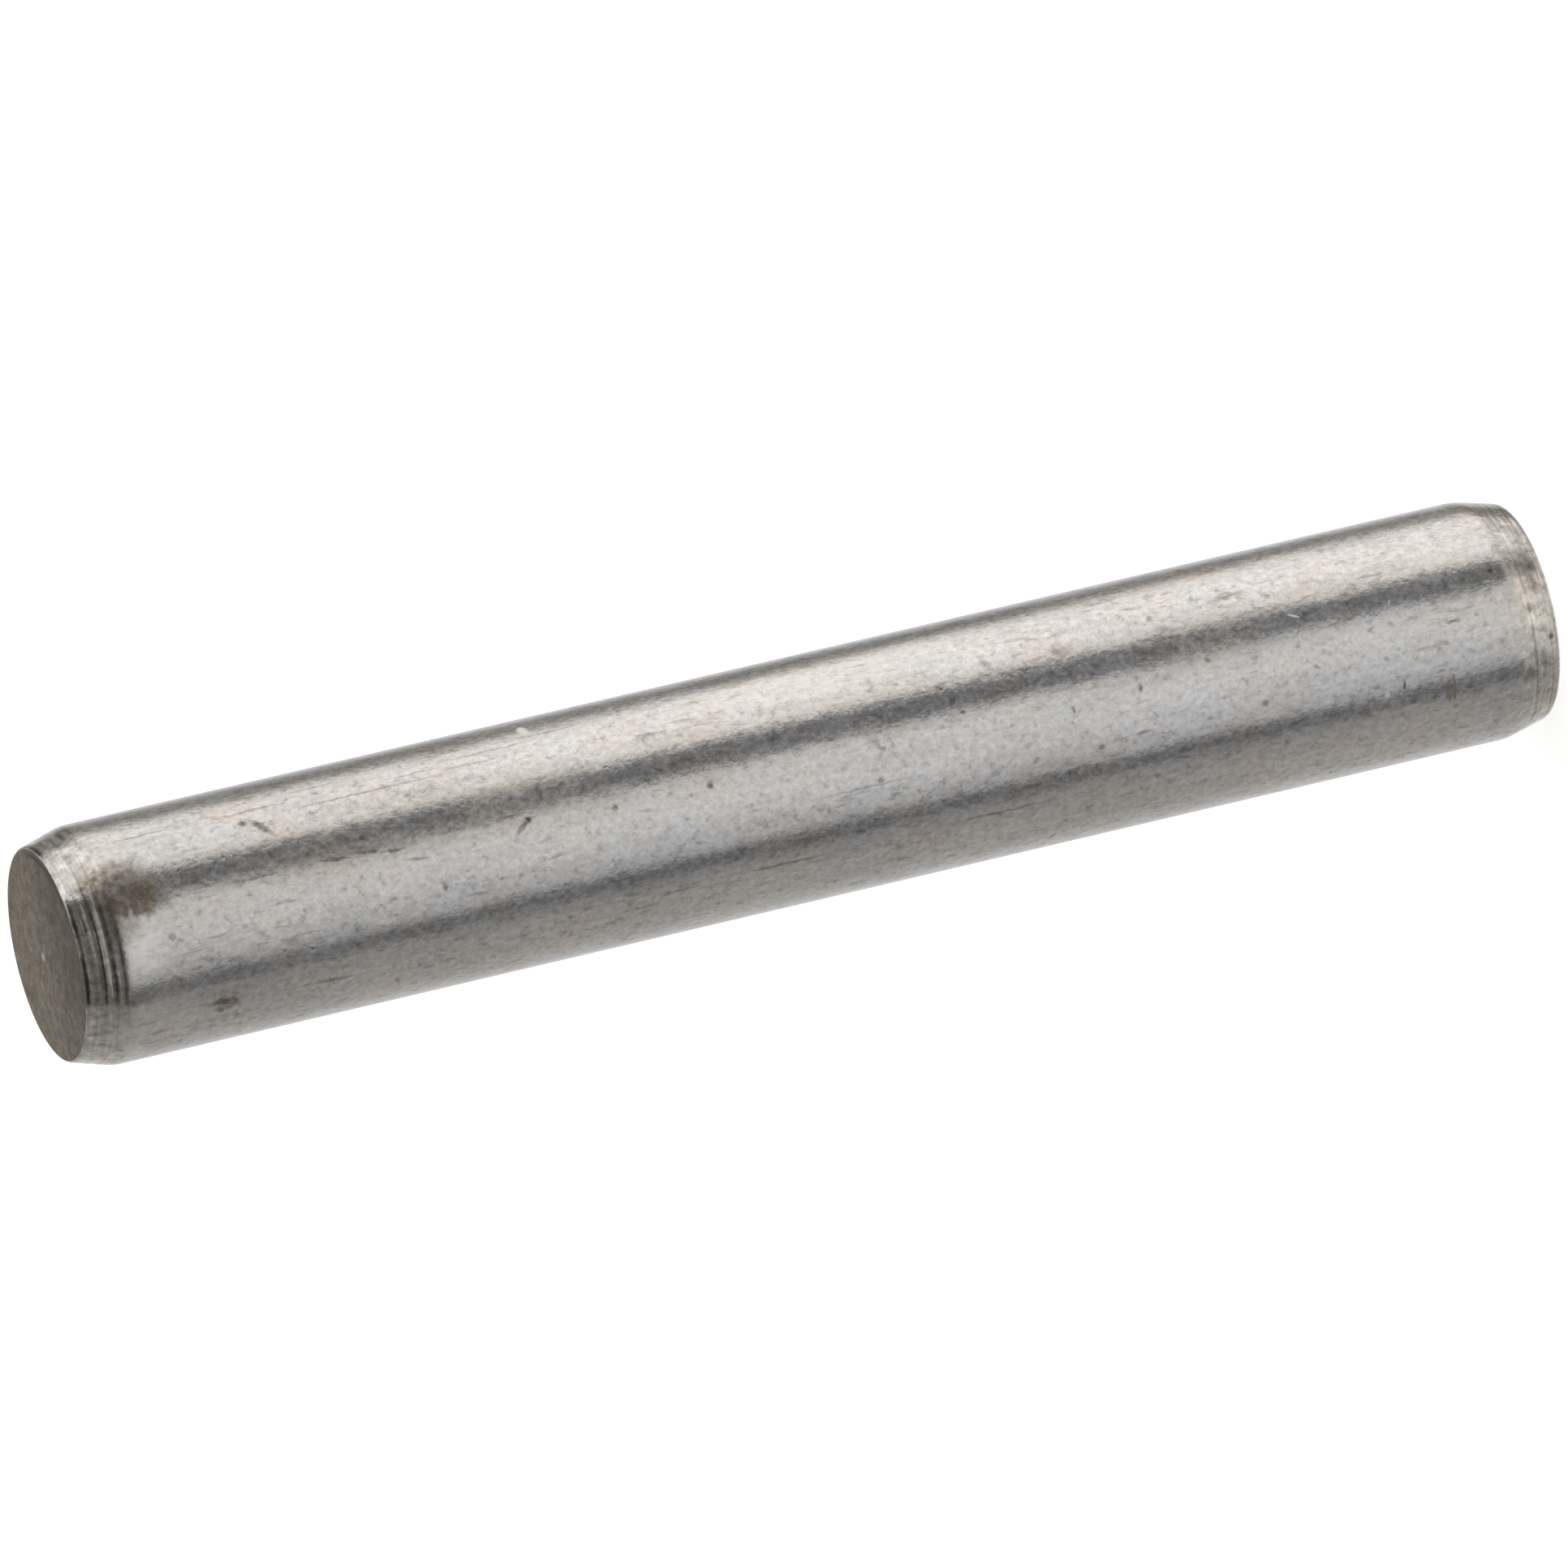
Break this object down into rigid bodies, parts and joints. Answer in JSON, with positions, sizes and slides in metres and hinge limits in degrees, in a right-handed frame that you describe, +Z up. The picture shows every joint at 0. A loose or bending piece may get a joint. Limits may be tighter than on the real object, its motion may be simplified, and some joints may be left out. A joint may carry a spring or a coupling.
{
  "type": "connecting pin",
  "caption": "Solid cylindrical steel pin with a flat face and a shallow turned lead-in chamfer at each end, for joining or locating two bored pieces.",
  "frame": {"origin": "centre of the lower end face, on which the pin stands", "axes": "+Z up along the pin's axis, from the foot face to the head face; X and Y are any two directions across it"},
  "size_m": [0.004, 0.004, 0.026],
  "materials": {
    "steel": "drawn and turned bright steel with fine lengthwise streaks, rings at the chamfers and light stains"
  },
  "bodies": {
    "root": {"connecting_pin": "steel"}
  },
  "joints": []
}
